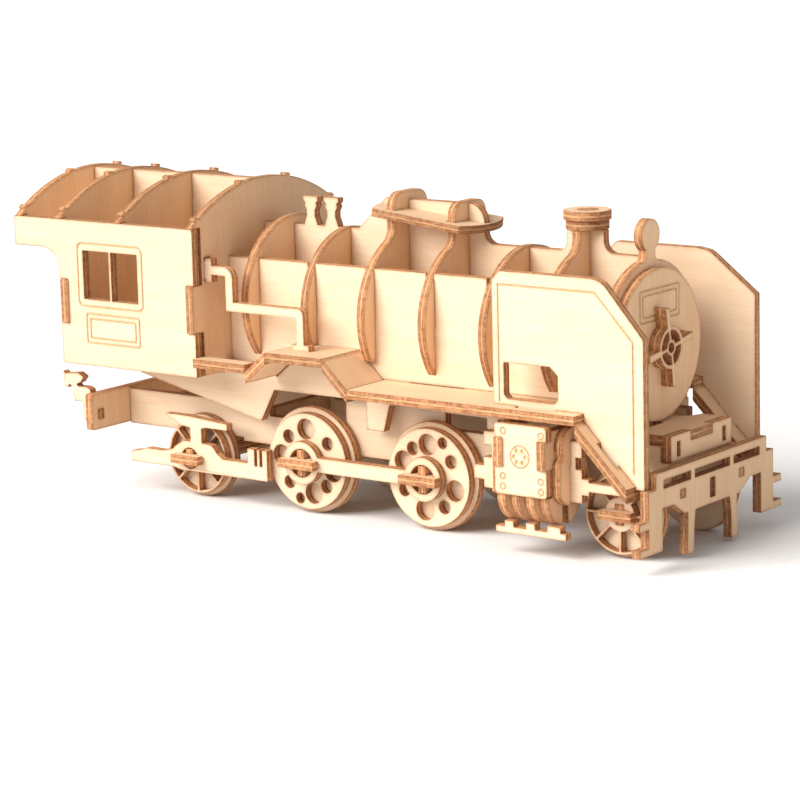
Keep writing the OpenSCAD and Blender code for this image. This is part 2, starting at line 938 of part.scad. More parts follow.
module pedestal_2d(x, z, bore, wall) {
    translate([x, z])
        circle(r = bore + wall);
    span(x - bore - wall, x + bore + wall, z, frame_z0 + 4);
}

module frame_2d() {
    tall_z = board_z - ply - 0.1;
    tall_x0 = -22.7;
    tall_x1 = 18;
    rear_x1 = -66;
    rear_z0 = 21.2;
    rear_z1 = 33.4;
    dip_x0 = -55;
    dip_z = 29.8;
    front_tab_z0 = 20.2;
    front_tab_z1 = 22.8;
    wall = 3;
    difference() {
        union() {
            span(rear_beam_x + ply + slot_gap, rear_x1, rear_z0, rear_z1);
            span(rear_x1 - 1, deck_front_x - slot_gap, frame_z0, frame_z1);
            span(tall_x0, tall_x1, frame_z1 - 1, tall_z);
            span(deck_side_x0, deck_front_x - slot_gap, frame_z0, deck_z1 - ply - slot_gap);
            span(deck_side_x0, front_beam_x - slot_gap, frame_z0, deck_front_z0 - slot_gap);
            span(front_beam_x - 1, front_beam_x + ply, front_tab_z0, front_tab_z1);
            pedestal_2d(driver_1_x, driver_r, bore_driver, wall);
            pedestal_2d(driver_2_x, driver_r, bore_driver, wall);
            pedestal_2d(trailing_x, small_r, bore_small, wall);
            pedestal_2d(pilot_x, small_r, bore_small, wall);
        }
        span(dip_x0, tall_x0, dip_z, big);
        for (x = [driver_1_x, driver_2_x])
            translate([x, driver_r])
                circle(r = bore_driver);
        for (x = [trailing_x, pilot_x])
            translate([x, small_r])
                circle(r = bore_small);
    }
}

module frame_right() {
    color(face_wood)
        plate_xz(-frame_half)
            frame_2d();
}

module frame_left() {
    color(face_wood)
        plate_xz(frame_half - ply)
            frame_2d();
}

module frame_stretchers() {
    stretcher_x = [-104, -60, 46, 76];
    inner = frame_half - ply - slot_gap;
    color(face_wood)
        for (x = stretcher_x)
            plate_yz(x)
                span(-inner, inner, frame_z0 + 2, frame_z1 - 1);
}

module rear_beam() {
    beam_z0 = 21.7;
    beam_z1 = 34.3;
    slot_y = 32.6;
    slot_z0 = 25.2;
    slot_z1 = 28.8;
    color(face_wood)
        plate_yz(rear_beam_x)
            difference() {
                soft_span(-rear_beam_half, rear_beam_half, beam_z0, beam_z1, 1);
                both_flanks()
                    span(slot_y, slot_y + ply, slot_z0, slot_z1);
            }
}

module rear_hooks() {
    x1 = rear_beam_x - slot_gap;
    tab_z0 = 25.3;
    tab_z1 = 28.7;
    hook_y = 35.6;
    color(face_wood)
        both_sides()
            plate_xz(-hook_y + slot_gap, ply - 2 * slot_gap)
                polygon([[x1, 24.2], [x1, tab_z0], [x1 + ply, tab_z0], [x1 + ply, tab_z1],
                    [x1, tab_z1], [x1, 34.6], [x1 - 0.3, 35.4], [x1 - 2, 36.1], [x1 - 5.8, 36],
                    [x1 - 6.3, 36.7], [x1 - 4.5, 37.5],
                    [x1 - 3, 39.4], [x1 - 5.5, 40.8], [x1 - 11.5, 40.1], [x1 - 12.4, 41], [x1 - 12, 35.4],
                    [x1 - 10.4, 35.2], [x1 - 9.9, 36.4], [x1 - 8.4, 35.8], [x1 - 7.6, 30.7],
                    [x1 - 4.6, 30.9], [x1 - 3.9, 30.1], [x1 - 3.5, 24.3], [x1 - 1.7, 24.2]]);
}

// front beam

module beam_leg_2d() {
    leg_y0 = 11.2;
    leg_y1 = 15.4;
    leg_z = 1.3;
    lean = 1.2;
    polygon([[leg_y0 - lean, 16], [leg_y0 - 0.2, 9], [leg_y0, leg_z], [leg_y1, leg_z + 0.4],
        [leg_y1 - 0.6, 9], [leg_y1 - 0.8, 16]]);
}

module front_beam_2d() {
    shoulder_z = 25.5;
    strip_y0 = 29.3;
    strip_y1 = 37.3;
    step_z0 = 5.8;
    step_h = 2.4;
    upper_step_z = 14;
    low_z = 15;
    rise_z = 19;
    slot_z0 = 25.1;
    slot_z1 = 27.7;
    both_flanks()
        difference() {
            union() {
                span(0, front_beam_half, rise_z, front_beam_z1);
                span(0, strip_y1, rise_z, shoulder_z);
                polygon([[0, rise_z + 1], [0, low_z], [16.6, low_z], [23, rise_z], [23, rise_z + 1]]);
                span(strip_y0, strip_y1, step_z0, rise_z + 1);
                span(strip_y1 - 1, step_half, step_z0, step_z0 + step_h);
                span(strip_y1 - 1, step_half, upper_step_z, upper_step_z + step_h);
                beam_leg_2d();
            }
            span(-1, 10.4, slot_z0, slot_z1);
            span(12.8, 28.6, slot_z0, slot_z1);
            span(frame_half - ply - slot_gap, frame_half + slot_gap, 20.2 - slot_gap, 22.8 + slot_gap);
            span(-1, ply / 2, 17, 23.2);
        }
}

module front_beam() {
    color(face_wood)
        plate_yz(front_beam_x)
            front_beam_2d();
}

// deck ahead of the smokebox

deck_half = 18;
deck_side_x0 = 88;
deck_x0 = 84.7;
deck_front_z0 = 30.6;
deck_front_x = 99.4;
deck_z1 = 38.8;

module deck_top() {
    notch_half = 6.4;
    scoop_r = 7;
    color(face_wood)
        plate_xy(deck_z1 - ply)
            difference() {
                union() {
                    span(deck_x0, deck_front_x - slot_gap, -deck_half, deck_half);
                    span(deck_front_x - 1, deck_front_x + ply, -notch_half, notch_half);
                }
                span(0, door_x + ply + 1, -big, 0);
                for (side = [-1, 1])
                    translate([deck_x0, side * deck_half])
                        circle(r = scoop_r);
            }
}

module deck_front() {
    slot_y = 12.6;
    slot_w = 1.8;
    notch_half = 6.4 + slot_gap;
    color(face_wood)
        plate_yz(deck_front_x)
            difference() {
                span(-deck_half, deck_half, deck_front_z0, deck_z1);
                span(-notch_half, notch_half, deck_z1 - ply - slot_gap, big);
                both_flanks()
                    span(slot_y, slot_y + slot_w, 32, 36.6);
            }
}

// cylinders

cylinder_end_x = [cover_x0, cover_x1 - ply];
disc_pitch = (cylinder_end_x[1] - cylinder_end_x[0]) / 3;
disc_x = [cylinder_end_x[0] + disc_pitch, cylinder_end_x[1] - disc_pitch];
lobed_x = [cover_x0 - ply - slot_gap, cover_x1 + slot_gap];
web_mid_y = web_y - ply / 2;
web_lap_z = 29.6;
disc_lap_z = 23;
cover_back_y = cover_y - ply - slot_gap;
cover_tab_z0 = 29;
cover_tab_z1 = 38;

module cylinder_cover() {
    bolt_r = 1.1;
    bolts = [[56, 40.2], [70, 39.8], [55.6, 25.9], [55.6, 22.6], [69.8, 25.4], [69.8, 22.2]];
    rosette_r = 3.6;
    color(face_wood)
        difference() {
            plate_xz(-cover_y)
                difference() {
                    soft_span(cover_x0, cover_x1, cover_z0, cover_z1, 1.2);
                    for (x = cylinder_end_x)
                        span(x - slot_gap, x + ply + slot_gap,
                            cover_tab_z0 - slot_gap, cover_tab_z1 + slot_gap);
                }
            plate_xz(-cover_y - ply + engrave_depth) {
                for (b = bolts)
                    translate(b)
                        ring_2d(bolt_r, bolt_r - engrave_w / 2);
                translate([62.1, 32.5]) {
                    ring_2d(rosette_r, rosette_r - engrave_w / 2);
                    for (k = [0 : 5])
                        rotate(k * 60)
                            translate([rosette_r * 0.58, 0])
                                circle(r = 0.7);
                }
            }
        }
}

module cylinder_covers() {
    both_sides()
        cylinder_cover();
}

module lobes_2d() {
    translate([web_mid_y, cylinder_z])
        circle(r = cylinder_r);
    translate([web_mid_y, chest_z])
        circle(r = chest_r);
}

module web_slot_2d(z0, z1) {
    span(web_y - ply - slot_gap, web_y + slot_gap, z0, z1);
}

module cylinder_end(x) {
    inner_y = 27.6;
    plate_z0 = 24;
    plate_z1 = 41;
    plate_yz(x)
        mirror([1, 0])
            difference() {
                union() {
                    disc_2d();
                    span(inner_y, cover_back_y, plate_z0, plate_z1);
                    span(cover_back_y - 1, cover_y + tab_proud, cover_tab_z0, cover_tab_z1);
                }
                web_slot_2d(0, web_lap_z);
            }
}

module cylinder_ends() {
    color(face_wood)
        both_sides()
            for (x = cylinder_end_x)
                cylinder_end(x);
}

// round below the cover and cut back behind it
module disc_2d() {
    disc_z = 19.5;
    disc_r = 9.3;
    difference() {
        translate([web_mid_y, disc_z])
            circle(r = disc_r);
        span(cover_back_y, big, cover_z0 - slot_gap, big);
    }
}

module cylinder_disc(x) {
    plate_yz(x)
        mirror([1, 0])
            difference() {
                disc_2d();
                web_slot_2d(disc_lap_z, big);
            }
}

module lobed_plate(x) {
    plate_yz(x)
        mirror([1, 0])
            difference() {
                lobes_2d();
                web_slot_2d(0, web_lap_z);
                span(cover_back_y, big, cover_z0 - slot_gap, cover_z1 + slot_gap);
            }
}

module cylinder_discs() {
    color(face_wood)
        both_sides() {
            for (x = disc_x)
                cylinder_disc(x);
            for (x = lobed_x)
                lobed_plate(x);
        }
}

module cylinder_web_2d() {
    bar_z0 = 21.6;
    bar_z1 = 26.2;
    bar_x0 = 38.4;
    front_bar_x1 = 98.4;
    front_bar_z0 = 21.9;
    front_bar_z1 = 24.8;
    difference() {
        union() {
            span(45.3, 79.2, 18, 37.4);
            span(42.4, 46, 32.8, 37.2);
            span(42.2, 46, 19, 29);
            span(bar_x0, 46, bar_z0, bar_z1);
            span(78, 81.8, 20.6, 25.8);
            span(78, front_bar_x1, front_bar_z0, front_bar_z1);
        }
        span(77, 80, 28.6, 32.2);
        for (x = concat(cylinder_end_x, lobed_x))
            span(x - slot_gap, x + ply + slot_gap, web_lap_z, big);
        for (x = disc_x)
            span(x - slot_gap, x + ply + slot_gap, 0, disc_lap_z);
    }
}

module cylinder_webs() {
    color(face_wood)
        both_sides()
            plate_xz(-web_y)
                cylinder_web_2d();
}

module drain_rails() {
    rail_y = 37.6;
    bar_z0 = 6.8;
    bar_z1 = 8.9;
    post_z = 10.8;
    color(face_wood)
        both_sides()
            plate_xz(-rail_y) {
                span(50, 76.4, bar_z0, bar_z1);
                span(53.4, 56.8, bar_z0, post_z);
                span(61.4, 64.8, bar_z0, post_z);
                span(69.4, 74.4, bar_z0, post_z);
            }
}

// coupling rods and trailing side frames

module coupling_rods() {
    rod_y = driver_face_y + run_gap;
    half = rod_h / 2;
    color(face_wood)
        both_sides()
            plate_xz(-rod_y - ply)
                translate([0, driver_r])
                    difference() {
                        union() {
                            for (x = [driver_1_x, driver_2_x])
                                translate([x, 0])
                                    circle(r = ring_r);
                            span(driver_1_x, driver_2_x, -half, half);
                        }
                        for (x = [driver_1_x, driver_2_x])
                            translate([x, 0])
                                circle(r = bore_driver);
                    }
}

module trailing_frame_2d() {
    x1 = -48.6;
    difference() {
        union() {
            polygon([[-108.8, 10.6], [-90, 10.6], [-86.5, 9.8], [x1, 9.8], [x1, 20.3], [-57, 20.3],
                [-57, 15.4], [-67.8, 15.4], [-70.4, 17.2], [-72.5, 19.6], [-76, 20], [-85.1, 20.2],
                [-88.9, 17.9], [-90.2, 16.6], [-95, 15.7], [-101.8, 15.8],
                [-104.5, 15], [-108.8, 14.2]]);
            polygon([[-92.9, 28.2], [-87.6, 26.6], [-86.6, 25.4], [-81.9, 24.9], [-81.9, 18], [-76.9, 18],
                [-76.9, 24.9], [-75.4, 25.4], [-65.5, 25.4], [-65.5, 27.6], [-83, 28.9], [-92.9, 28.9]]);
        }
        for (x = [-54, -51.8])
            span(x, x + 1.1, 14.6, big);
        translate([trailing_x, small_r])
            circle(r = bore_small);
    }
}

module trailing_side_frames() {
    frame_y = driver_face_y + run_gap;
    color(face_wood)
        both_sides()
            plate_xz(-frame_y - ply)
                trailing_frame_2d();
}

// wheelsets

module cross_2d(half_w, half_h) {
    half = ply / 2;
    span(-half_w, half_w, -half, half);
    span(-half, half, -half_h, half_h);
}

// the holes follow the small balance hole round the wheel
module driver_holes_2d(turn) {
    balance_r = hole_circle_r + 2.4;
    rotate(turn) {
        for (angle = [27, 92, 197, 279])
            rotate(angle)
                translate([hole_circle_r, 0])
                    circle(r = big_hole_r);
        for (angle = [-30, 60, 143, 240])
            rotate(angle)
                translate([hole_circle_r, 0])
                    circle(r = mid_hole_r);
        translate([balance_r, 0])
            circle(r = small_hole_r);
    }
}

module driver_face_2d(turn) {
    difference() {
        circle(r = driver_face_r);
        driver_holes_2d(turn);
        cross_2d(driver_cross + slot_gap, driver_cross + slot_gap);
    }
}

module spoked_2d() {
    difference() {
        union() {
            ring_2d(small_face_r, small_face_r - spoke_rim_w);
            circle(r = spoke_hub_r);
            for (k = [0 : spoke_count - 1])
                rotate(k * 360 / spoke_count)
                    span(spoke_hub_r - 1, small_face_r - spoke_rim_w / 2, -spoke_w / 2, spoke_w / 2);
        }
        cross_2d(small_cross + slot_gap, small_cross + slot_gap);
    }
}

module driver_faces(x, turn) {
    color(face_wood)
        both_sides()
            translate([x, 0, driver_r])
                plate_xz(-driver_face_y)
                    driver_face_2d(turn);
}

module small_faces(x) {
    color(face_wood)
        both_sides()
            translate([x, 0, small_r])
                plate_xz(-small_face_y)
                    spoked_2d();
}

// the plain discs that run on the rails, behind the faces
module flanges(x, r, cross, face_y) {
    color(face_wood)
        both_sides()
            translate([x, 0, r])
                plate_xz(-face_y + ply + slot_gap)
                    difference() {
                        circle(r = r);
                        cross_2d(cross + slot_gap, cross + slot_gap);
                    }
}

// two strips halved into each other; the flat one carries the wide end heads
module axle(x, z, cross, head, tip_y, head_y) {
    half = ply / 2;
    upright_y = head_y - 2 * slot_gap;
    color(edge_wood)
        translate([x, 0, z]) {
            translate([0, 0, -half])
                linear_extrude(ply)
                    difference() {
                        union() {
                            span(-cross, cross, -tip_y, tip_y);
                            span(-head, head, -tip_y, -head_y);
                            span(-head, head, head_y, tip_y);
                        }
                        span(-half - slot_gap, half + slot_gap, -slot_gap, big);
                    }
            plate_yz(-half)
                difference() {
                    span(-upright_y, upright_y, -cross, cross);
                    span(-big, slot_gap, -half - slot_gap, half + slot_gap);
                }
        }
}

driver_head_y = driver_face_y + ply + 2 * run_gap;
head_len = 3;

module trailing_faces() {
    small_faces(trailing_x);
}

module trailing_flanges() {
    flanges(trailing_x, small_r, small_cross, small_face_y);
}

module trailing_axle() {
    axle(trailing_x, small_r, small_cross, small_head, driver_head_y + head_len, driver_head_y);
}

module driver_1_faces() {
    driver_faces(driver_1_x, driver_1_turn);
}

module driver_1_flanges() {
    flanges(driver_1_x, driver_r, driver_cross, driver_face_y);
}

module driver_1_axle() {
    axle(driver_1_x, driver_r, driver_cross, driver_head, driver_head_y + head_len, driver_head_y);
}

module driver_2_faces() {
    driver_faces(driver_2_x, driver_2_turn);
}

module driver_2_flanges() {
    flanges(driver_2_x, driver_r, driver_cross, driver_face_y);
}

module driver_2_axle() {
    axle(driver_2_x, driver_r, driver_cross, driver_head, driver_head_y + head_len, driver_head_y);
}

module pilot_faces() {
    small_faces(pilot_x);
}

module pilot_flanges() {
    flanges(pilot_x, small_r, small_cross, small_face_y);
}

module pilot_axle() {
    tip_y = small_face_y + run_gap + head_len;
    axle(pilot_x, small_r, small_cross, small_head, tip_y, small_face_y + slot_gap);
}

spine_plate();
boiler_side_right();
boiler_side_left();
rib_1();
rib_2();
dome_rib_rear();
dome_rib_front();
rib_5();
chimney_rib();
smokebox_ring();
smokebox_door();
door_handle();
chimney_cap_lower();
chimney_cap_upper();
dome_collar();
cab_side_right();
cab_side_left();
cab_front_wall();
cab_rear_wall();
cab_floor();
roof_arches();
roof_ridge();
footplate();
low_boards();
rear_slopes();
platforms();
middle_slopes();
front_slopes();
handrails();
deflector_right();
deflector_left();
skirts();
frame_right();
frame_left();
frame_stretchers();
rear_beam();
rear_hooks();
front_beam();
deck_top();
deck_front();
cylinder_covers();
cylinder_ends();
cylinder_discs();
cylinder_webs();
drain_rails();
coupling_rods();
trailing_side_frames();
trailing_faces();
trailing_flanges();
trailing_axle();
driver_1_faces();
driver_1_flanges();
driver_1_axle();
driver_2_faces();
driver_2_flanges();
driver_2_axle();
pilot_faces();
pilot_flanges();
pilot_axle();
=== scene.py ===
"""The looks of the laser-cut plywood locomotive: bare birch ply with scorched edges, on a pale table."""

import math

import bpy
import numpy as np
from mathutils import Matrix, Vector


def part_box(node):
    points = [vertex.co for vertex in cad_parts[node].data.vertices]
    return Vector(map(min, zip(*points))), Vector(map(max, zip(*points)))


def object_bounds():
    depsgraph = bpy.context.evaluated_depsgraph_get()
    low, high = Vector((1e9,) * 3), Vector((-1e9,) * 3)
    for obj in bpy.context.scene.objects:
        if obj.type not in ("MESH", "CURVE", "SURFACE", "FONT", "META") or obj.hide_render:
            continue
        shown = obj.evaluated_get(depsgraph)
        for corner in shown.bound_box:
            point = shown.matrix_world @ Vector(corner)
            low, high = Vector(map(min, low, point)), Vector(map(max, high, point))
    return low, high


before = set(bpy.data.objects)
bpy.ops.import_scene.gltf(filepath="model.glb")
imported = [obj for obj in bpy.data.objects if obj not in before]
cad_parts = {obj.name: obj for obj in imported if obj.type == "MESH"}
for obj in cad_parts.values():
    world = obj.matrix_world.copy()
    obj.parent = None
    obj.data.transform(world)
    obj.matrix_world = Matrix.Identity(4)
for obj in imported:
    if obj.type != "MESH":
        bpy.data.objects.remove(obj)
cad_low, cad_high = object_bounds()

# ---------------------------------------------------------------- driving values, in metres

floor_low, floor_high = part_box("cab_floor")
PLY = floor_high[2] - floor_low[2]  # the sheet that every plate is cut from
PLY_TOLERANCE = 0.02  # as a share of the sheet's thickness
SAME_POINT = 1e-6
BROAD_FACE_COSINE = 0.95  # a face this square to the sheet may be one of its two faces
CROSS_PLATE_COSINE = 0.7  # a sheet that faces this much along the locomotive stands across it
HALF_SPACE = np.array([1.0, 0.1, 0.01])  # folds opposite directions onto one, whichever axis they follow
ON_THE_SHEET_FACE = 0.01  # how far through the sheet a face may lie and still count as its face
RIM_WIDTH = 0.00013  # the small break that the laser leaves on each cut edge
SHARP_COSINE = math.cos(math.radians(40))
GROOVE_DEPTH = 0.5  # an engraved line goes less far through the sheet than this share
BROAD_FACE, CUT_EDGE, GROOVE = range(3)  # the three material slots

CAMERA_AIM = Vector((-0.0146, 0.0, 0.0359))
CAMERA_AZIMUTH = math.radians(37.03)
CAMERA_ELEVATION = math.radians(11.08)
CAMERA_ROLL = math.radians(-1.48)
CAMERA_DISTANCE = 1.0359
CAMERA_LENS_MM = 140.03

TABLE_SIZE = 16.0
SUN_DIRECTION = Vector((-0.46, -0.84, 0.72))  # from the model towards the key light
SUN_COLOUR = (1.0, 0.98, 0.94)
SUN_POWER = 4.5
SUN_SOFTNESS = math.radians(46)
SKY_COLOUR = (1.0, 0.985, 0.97, 1)
SKY_STRENGTH = 0.52
RANDOM_SEED = 7


# ---------------------------------------------------------------- plate coordinates

def point_numbers(points):
    """One number for each different point, shared by the vertices that lie on it."""
    keys = np.round(points / SAME_POINT).astype(np.int64)
    return np.unique(keys, axis=0, return_inverse=True)[1].ravel()


def solid_numbers(mesh, place):
    """The number of the separate solid that each vertex belongs to."""
    parent = list(range(int(place.max()) + 1))

    def root(i):
        while parent[i] != i:
            parent[i] = parent[parent[i]]
            i = parent[i]
        return i

    for polygon in mesh.polygons:
        first = root(place[polygon.vertices[0]])
        for v in polygon.vertices[1:]:
            parent[root(place[v])] = first
    roots = np.array([root(i) for i in place])
    return np.unique(roots, return_inverse=True)[1].ravel()


def sheet_normal(points, normals, areas):
    """The direction through the sheet: the largest set of parallel faces that are one sheet apart."""
    folded = normals * np.where(normals @ HALF_SPACE < 0, -1.0, 1.0)[:, None]
    member = np.unique(np.round(folded, 2), axis=0, return_inverse=True)[1].ravel()
    totals = np.bincount(member, weights=areas)
    fallback = None
    for i in np.argsort(-totals):
        n = (folded[member == i] * areas[member == i, None]).sum(axis=0)
        n /= np.linalg.norm(n)
        if fallback is None:
            fallback = n
        depth = points @ n
        if abs((depth.max() - depth.min()) / PLY - 1) < PLY_TOLERANCE:
            return n
    return fallback


def grain_direction(normal):
    """Along the sheet's grain: level on lengthways and flat plates, upright on cross plates."""
    wanted = Vector((0, 0, 1)) if abs(normal[0]) > CROSS_PLATE_COSINE else Vector((1, 0, 0))
    n = Vector(normal)
    return np.array((wanted - wanted.dot(n) * n).normalized())


def break_cut_edges(mesh, point, normals, slots):
    """Marks the sharp borders of the cut edges for the bevel, and leaves the engraved lines crisp."""
    count = int(point.max()) + 1

    def keys(a, b):
        return np.minimum(a, b) * count + np.maximum(a, b)

    starts, ends, faces = [], [], []
    for i, polygon in enumerate(mesh.polygons):
        corners = list(polygon.vertices)
        starts += corners
        ends += corners[1:] + corners[:1]
        faces += [i] * len(corners)
    faces = np.array(faces)
    found, member = np.unique(keys(point[starts], point[ends]), return_inverse=True)
    member = member.ravel()
    total = np.zeros((len(found), 3))
    np.add.at(total, member, normals[faces])
    number = np.bincount(member)
    engraved = np.bincount(member, weights=slots[faces] == GROOVE) > 0
    agreement = (total ** 2).sum(axis=1) / 2 - 1  # the cosine between two faces that share the edge
    marked = (number == 2) & (agreement < SHARP_COSINE) & ~engraved
    pairs = np.array([edge.vertices for edge in mesh.edges])
    order = np.searchsorted(found, keys(point[pairs[:, 0]], point[pairs[:, 1]]))
    weights = marked[np.minimum(order, len(found) - 1)].astype(float)
    mesh.attributes.new("bevel_weight_edge", "FLOAT", "EDGE").data.foreach_set("value", weights)


def lay_out(obj, rng):
    """Writes each vertex's place on its own sheet, the sheet's random tone and its painted shade by the
    way it faces, and each face's slot.

    The place runs along the grain, across it, and from 0 to 1 through the ply.
    """
    mesh = obj.data
    points = np.empty(len(mesh.vertices) * 3)
    mesh.vertices.foreach_get("co", points)
    points = points.reshape(-1, 3)
    normals = np.array([p.normal for p in mesh.polygons])
    areas = np.array([p.area for p in mesh.polygons])
    first = np.array([p.vertices[0] for p in mesh.polygons])
    point = point_numbers(points)
    solid = solid_numbers(mesh, point)
    place = np.zeros_like(points)
    tone = np.zeros(len(points))
    facing_shade = np.zeros(len(points))
    slots = np.full(len(areas), CUT_EDGE, dtype=np.int32)
    for s in range(solid.max() + 1):
        mine, faces = solid == s, solid[first] == s
        n = sheet_normal(points[mine], normals[faces], areas[faces])
        along = grain_direction(n)
        across = np.cross(n, along)
        depth = points @ n
        low, high = depth[mine].min(), depth[mine].max()
        through = (depth - low) / (high - low)
        shift = rng.uniform(-1, 1, 2)
        place[mine, 0] = (points @ along)[mine] + shift[0]
        place[mine, 1] = (points @ across)[mine] + shift[1]
        place[mine, 2] = through[mine]
        tone[mine] = rng.uniform(-1, 1)
        # painted shade: -1 on long upright sheets facing the key light, 0 on level sheets, 1 on cross
        # sheets in shade
        facing_shade[mine] = n[0] ** 2 - n[1] ** 2
        square = np.abs(normals @ n) > BROAD_FACE_COSINE
        outside = np.minimum(through[first], 1 - through[first]) < ON_THE_SHEET_FACE
        reach = np.array([np.ptp(through[list(p.vertices)]) for p in mesh.polygons])
        slots[faces & (reach < GROOVE_DEPTH)] = GROOVE
        slots[faces & square & outside] = BROAD_FACE
    mesh.attributes.new("sheet_place", "FLOAT_VECTOR", "POINT").data.foreach_set("vector", place.ravel())
    for name, values in (("sheet_tone", tone), ("sheet_facing_shade", facing_shade)):
        mesh.attributes.new(name, "FLOAT", "POINT").data.foreach_set("value", values)
    mesh.polygons.foreach_set("material_index", slots)
    break_cut_edges(mesh, point, normals, slots)


# ---------------------------------------------------------------- materials

class Tree:
    """Short calls for building one material's nodes."""

    def __init__(self, name):
        self.material = bpy.data.materials.new(name)
        self.material.use_nodes = True
        self.tree = self.material.node_tree
        self.tree.nodes.clear()

    def add(self, kind, inputs=None, **settings):
        made = self.tree.nodes.new(kind)
        for key, value in settings.items():
            setattr(made, key, value)
        for key, value in (inputs or {}).items():
            if isinstance(value, bpy.types.NodeSocket):
                self.tree.links.new(value, made.inputs[key])
            else:
                made.inputs[key].default_value = value
        return made

    def math(self, operation, a, b):
        return self.add("ShaderNodeMath", {0: a, 1: b}, operation=operation).outputs[0]

    def attribute(self, name, output):
        return self.add("ShaderNodeAttribute", attribute_name=name).outputs[output]

    def stretch(self, vector, scale, offset=(0, 0, 0)):
        inputs = {"Vector": vector, "Scale": scale, "Location": offset}
        return self.add("ShaderNodeMapping", inputs).outputs[0]

    def noise(self, vector, scale, detail=3.0, roughness=0.55, distortion=0.0):
        inputs = {"Vector": vector, "Scale": scale, "Detail": detail, "Roughness": roughness,
                  "Distortion": distortion}
        return self.add("ShaderNodeTexNoise", inputs).outputs[0]

    def ramp(self, factor, stops):
        made = self.add("ShaderNodeValToRGB", {"Fac": factor})
        points = made.color_ramp.elements
        while len(points) < len(stops):
            points.new(0.5)
        for point, (position, value) in zip(points, stops):
            point.position = position
            point.color = (*value, 1)
        return made.outputs[0]

    def mix(self, factor, a, b, blend="MIX"):
        made = self.add("ShaderNodeMix", {0: factor, 6: a, 7: b}, data_type="RGBA", blend_type=blend)
        return made.outputs[2]

    def span(self, value, low, high, to_low=0.0, to_high=1.0):
        inputs = {"Value": value, "From Min": low, "From Max": high, "To Min": to_low, "To Max": to_high}
        return self.add("ShaderNodeMapRange", inputs, clamp=True).outputs[0]

    def scale(self, colour, tone, low, high):
        """The colour, darker or lighter with its sheet's tone."""
        grey = self.span(tone, -1.0, 1.0, low, high)
        factor = self.add("ShaderNodeCombineColor", {0: grey, 1: grey, 2: grey}).outputs[0]
        return self.mix(1.0, colour, factor, "MULTIPLY")

    def finish(self, colour, roughness, height, bump_depth, bump_strength, specular=0.3):
        bump = self.add("ShaderNodeBump", {
            "Height": height, "Distance": bump_depth, "Strength": bump_strength})
        shader = self.add("ShaderNodeBsdfPrincipled", {
            "Base Color": colour, "Roughness": roughness, "Normal": bump.outputs[0],
            "Specular IOR Level": specular})
        self.add("ShaderNodeOutputMaterial", {"Surface": shader.outputs[0]})
        return self.material


# the ground and the fibres of the long upright sheets, the level sheets and the cross sheets, as painted
# shade by facing: palest on the long upright sheets that face the key light, deeper on the level sheets,
# and deeper and more orange on the cross sheets that face away from it
WOODS_WITH_FACING_SHADE = (((0.84, 0.66, 0.48), (0.77, 0.545, 0.345)),
         ((0.78, 0.55, 0.36), (0.69, 0.45, 0.27)),
         ((0.84, 0.58, 0.36), (0.73, 0.45, 0.25)))
FLECK_WOOD = (0.56, 0.33, 0.17)
SCORCH = (0.45, 0.21, 0.085)
GROOVE_LIGHT = (0.84, 0.62, 0.38)
GROOVE_DARK = (0.74, 0.49, 0.26)
BURNT_DARK = (0.13, 0.042, 0.015)
BURNT_BROWN = (0.38, 0.15, 0.06)
BURNT_LIGHT = (0.64, 0.35, 0.17)
HALO_REACH = 0.0012


def birch_face():
    """The sheet's own face: long fibres, short flecks, slow figure, a scorched haze by the cuts, and
    painted shade that darkens the sheets that face away from the key light.
    """
    t = Tree("birch_face")
    place = t.attribute("sheet_place", "Vector")
    tone = t.attribute("sheet_tone", "Fac")
    fibres = t.noise(t.stretch(place, (60, 1500, 0)), 1.0, 4.0, 0.6)
    hairs = t.noise(t.stretch(place, (170, 5200, 0)), 1.0, 2.0)
    figure = t.noise(t.stretch(place, (14, 120, 0)), 1.0, 2.0, 0.5, 0.4)
    flecks = t.noise(t.stretch(place, (420, 3600, 0), (3.1, 1.7, 0)), 1.0, 1.0)
    streaks = t.math("ADD", t.math("MULTIPLY", fibres, 0.6), t.math("MULTIPLY", figure, 0.4))
    facing_shade = t.attribute("sheet_facing_shade", "Fac")
    # painted shade: the ground and fibre colours are picked by the way the sheet faces
    ground, fibre = (t.ramp(t.span(facing_shade, -1.0, 1.0), list(zip((0.0, 0.5, 1.0), colours)))
                     for colours in zip(*WOODS_WITH_FACING_SHADE))
    wood = t.mix(t.span(streaks, 0.36, 0.72), ground, fibre)
    wood = t.mix(t.math("MULTIPLY", t.span(flecks, 0.66, 0.76), 0.32), wood, (*FLECK_WOOD, 1))
    wood = t.scale(wood, tone, 0.95, 1.05)
    enclosed = t.add("ShaderNodeAmbientOcclusion", {"Distance": HALO_REACH}, samples=6, inside=True,
                     only_local=True).outputs["AO"]
    smoke = t.noise(place, 420.0, 2.0)
    near_cut = t.span(enclosed, 0.98, 0.42)
    haze = t.math("MULTIPLY", t.math("POWER", near_cut, 1.3), t.span(smoke, 0.3, 0.7, 0.4, 0.95))
    colour = t.mix(haze, wood, (*SCORCH, 1))
    roughness = t.span(hairs, 0.3, 0.7, 0.52, 0.70)
    height = t.math("ADD", t.math("MULTIPLY", fibres, 0.7), t.math("MULTIPLY", hairs, 0.5))
    return t.finish(colour, roughness, height, 0.00012, 0.35)


def engraved_line():
    """The floor of an engraved line: lightly browned by the beam, in uneven passes."""
    t = Tree("engraved_line")
    place = t.attribute("sheet_place", "Vector")
    passes = t.noise(t.stretch(place, (900, 900, 1)), 1.0, 3.0)
    colour = t.mix(t.span(passes, 0.35, 0.65), (*GROOVE_LIGHT, 1), (*GROOVE_DARK, 1))
    return t.finish(colour, t.span(passes, 0.3, 0.7, 0.6, 0.8), passes, 0.0001, 0.3, 0.2)


